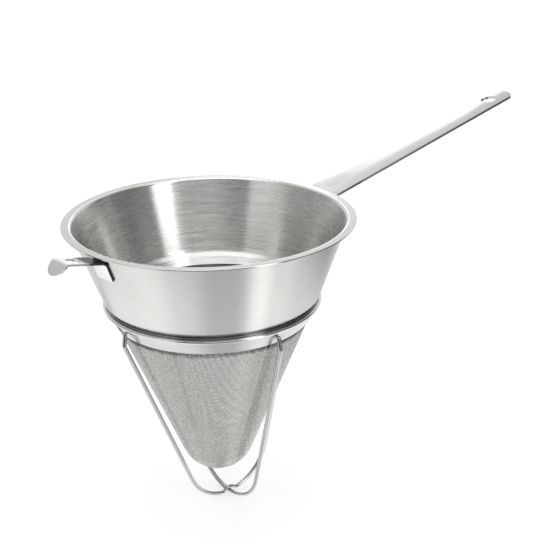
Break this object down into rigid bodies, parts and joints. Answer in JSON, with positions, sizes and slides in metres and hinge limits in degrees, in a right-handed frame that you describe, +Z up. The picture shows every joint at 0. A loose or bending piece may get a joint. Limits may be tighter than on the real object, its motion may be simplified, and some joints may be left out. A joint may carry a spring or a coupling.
{
  "type": "chinois strainer",
  "caption": "Conical fine mesh strainer under a flared, flanged steel bowl, with a strap handle, a pot hook and a wire guard below the sieve.",
  "frame": {"origin": "on the bowl's axis, in the plane of the rim's flat top", "axes": "+Z up along the bowl's axis, +X along the handle"},
  "size_m": [0.4184, 0.2, 0.2671],
  "materials": {
    "bowl_sheet": "brushed round the bowl",
    "collar_sheet": "bright",
    "sieve_cloth": "fine woven wire",
    "ring_wire": "polished",
    "guard_wire": "polished",
    "handle_strap": "satin",
    "hook_strap": "satin",
    "weld_metal": "welded"
  },
  "bodies": {
    "root": {"bowl": "bowl_sheet", "mesh_collar": "collar_sheet", "mesh_cone": "sieve_cloth", "seat_ring": "ring_wire", "ring_joint_weld": "weld_metal", "guard_loop_over": "guard_wire", "guard_loop_under": "guard_wire", "guard_leg_welds": "weld_metal", "handle": "handle_strap", "handle_spot_welds": "weld_metal", "pot_hook": "hook_strap", "hook_spot_welds": "weld_metal"}
  },
  "joints": []
}
